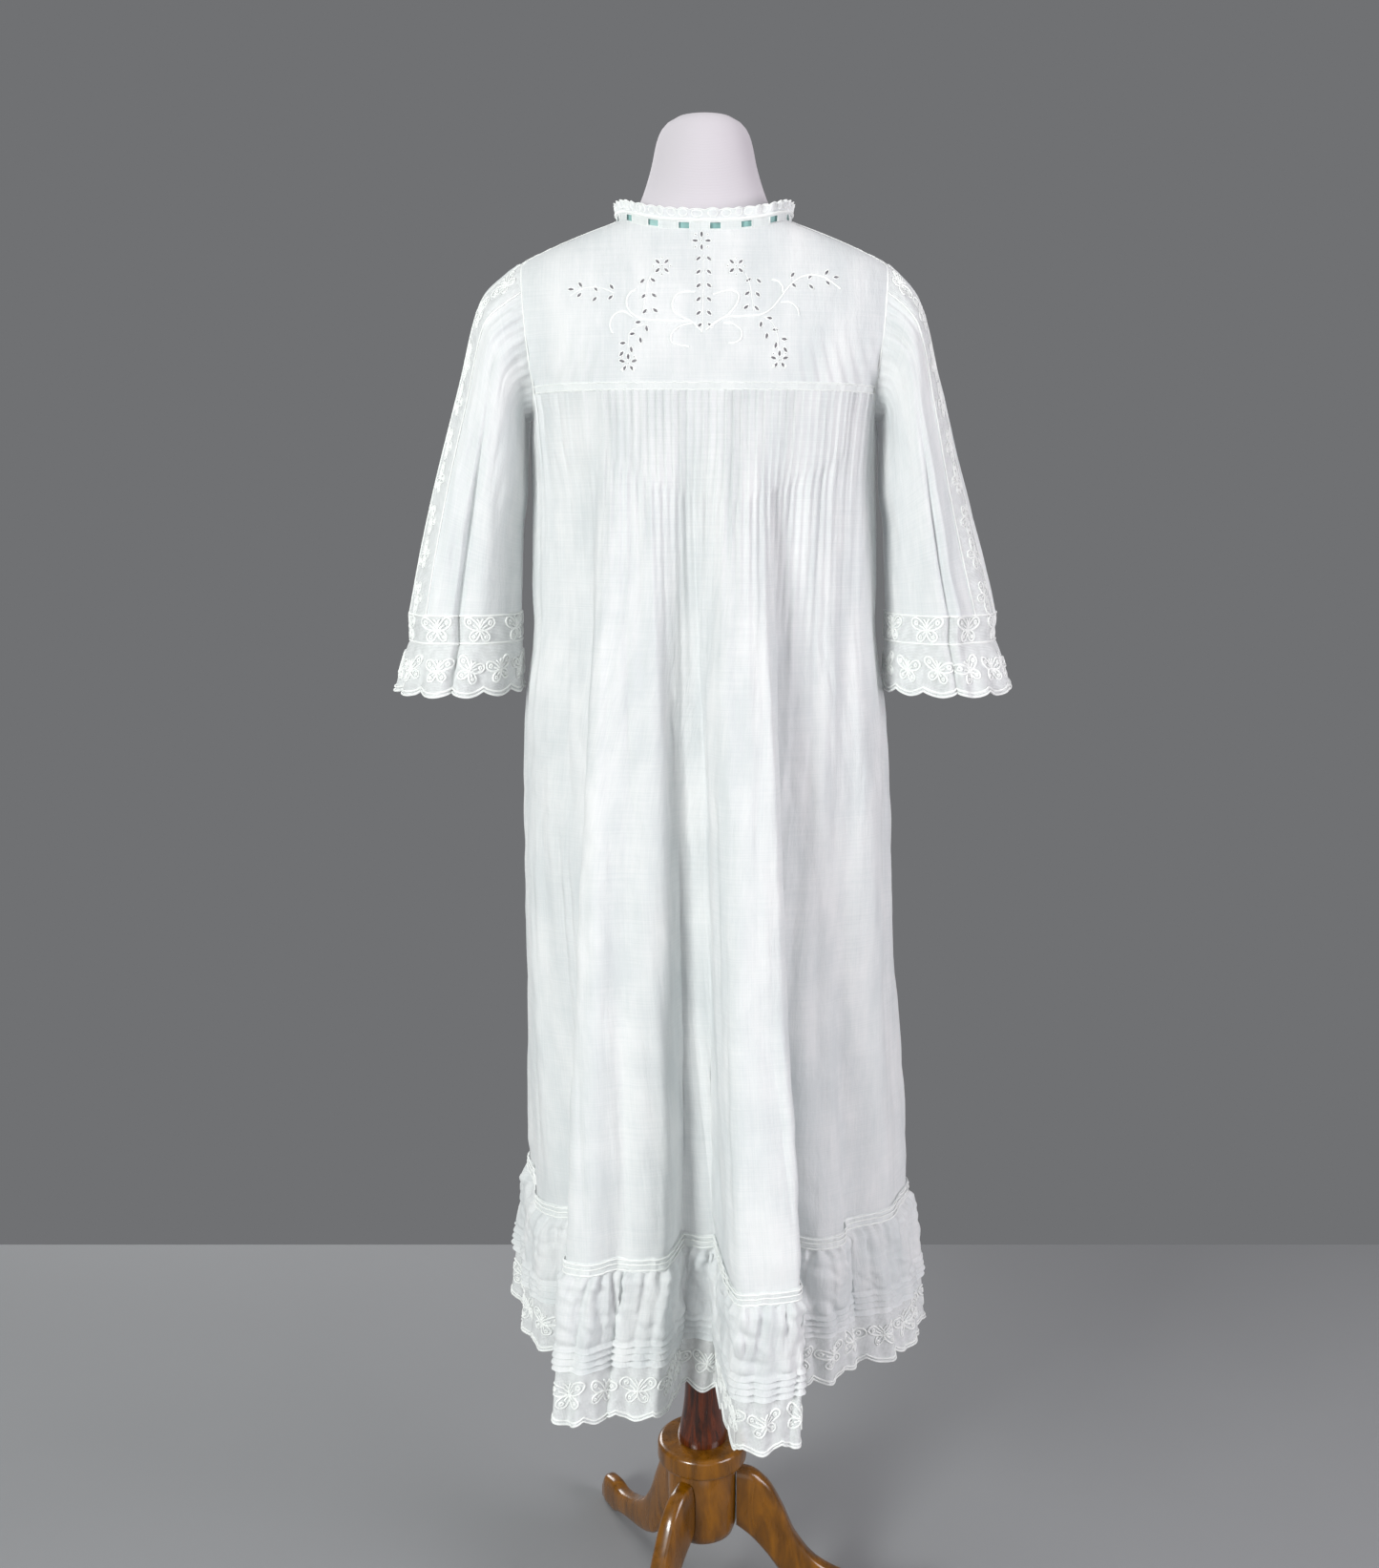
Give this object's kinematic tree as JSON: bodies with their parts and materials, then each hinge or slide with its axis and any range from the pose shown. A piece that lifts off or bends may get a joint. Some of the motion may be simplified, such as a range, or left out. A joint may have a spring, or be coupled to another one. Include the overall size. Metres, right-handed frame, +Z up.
{
  "type": "cotton dress on a dress form",
  "caption": "Long white cotton tea dress with an openwork yoke, pintucked back, lace-trimmed bell sleeves and a ruffled lace hem, on a limbless dress form with a wooden stand.",
  "frame": {"origin": "on the floor under the stand's pole, at the middle of the whole part's width and depth", "axes": "+Z up along the pole; -Y is the back of the dress, the side seen in the picture, +Y is its front, and +X is the wearer's right"},
  "size_m": [0.6585, 0.579, 1.7025],
  "materials": {
    "cotton_lawn": "fine matt white cotton lawn, slightly see-through",
    "cotton_lace": "matt white cotton lace",
    "ribbon": "pale blue-green ribbon with a soft sheen",
    "shell_button": "pearly off-white buttons",
    "form_cloth": "close matt knitted cover, off-white with a faint lilac tint",
    "dark_wood": "dark red-brown polished wood",
    "golden_wood": "golden-brown polished wood"
  },
  "bodies": {
    "root": {"back_yoke": "cotton_lawn", "front_yoke_left": "cotton_lawn", "front_yoke_right": "cotton_lawn", "yoke_tape_back": "cotton_lawn", "yoke_tape_front": "cotton_lawn", "back_skirt": "cotton_lawn", "front_skirt": "cotton_lawn", "front_placket": "cotton_lawn", "neck_frill": "cotton_lawn", "sleeve_left": "cotton_lawn", "sleeve_right": "cotton_lawn", "hem_band": "cotton_lawn", "hem_flounce": "cotton_lawn", "shoulder_lace_left": "cotton_lace", "shoulder_lace_right": "cotton_lace", "neckband_back": "cotton_lace", "neckband_front": "cotton_lace", "sleeve_lace_left": "cotton_lace", "sleeve_lace_right": "cotton_lace", "cuff_lace_left_back": "cotton_lace", "cuff_lace_left_front": "cotton_lace", "cuff_lace_right_back": "cotton_lace", "cuff_lace_right_front": "cotton_lace", "cuff_ruffle_left_back": "cotton_lace", "cuff_ruffle_left_front": "cotton_lace", "cuff_ruffle_right_back": "cotton_lace", "cuff_ruffle_right_front": "cotton_lace", "hem_lace_back": "cotton_lace", "hem_lace_front": "cotton_lace", "neck_ribbon": "ribbon", "button_1": "shell_button", "button_2": "shell_button", "button_3": "shell_button", "button_4": "shell_button", "form_torso": "form_cloth", "stand_pole": "dark_wood", "stand_collar": "golden_wood", "stand_hub": "golden_wood", "stand_leg_1": "golden_wood", "stand_leg_2": "golden_wood", "stand_leg_3": "golden_wood"}
  },
  "joints": []
}
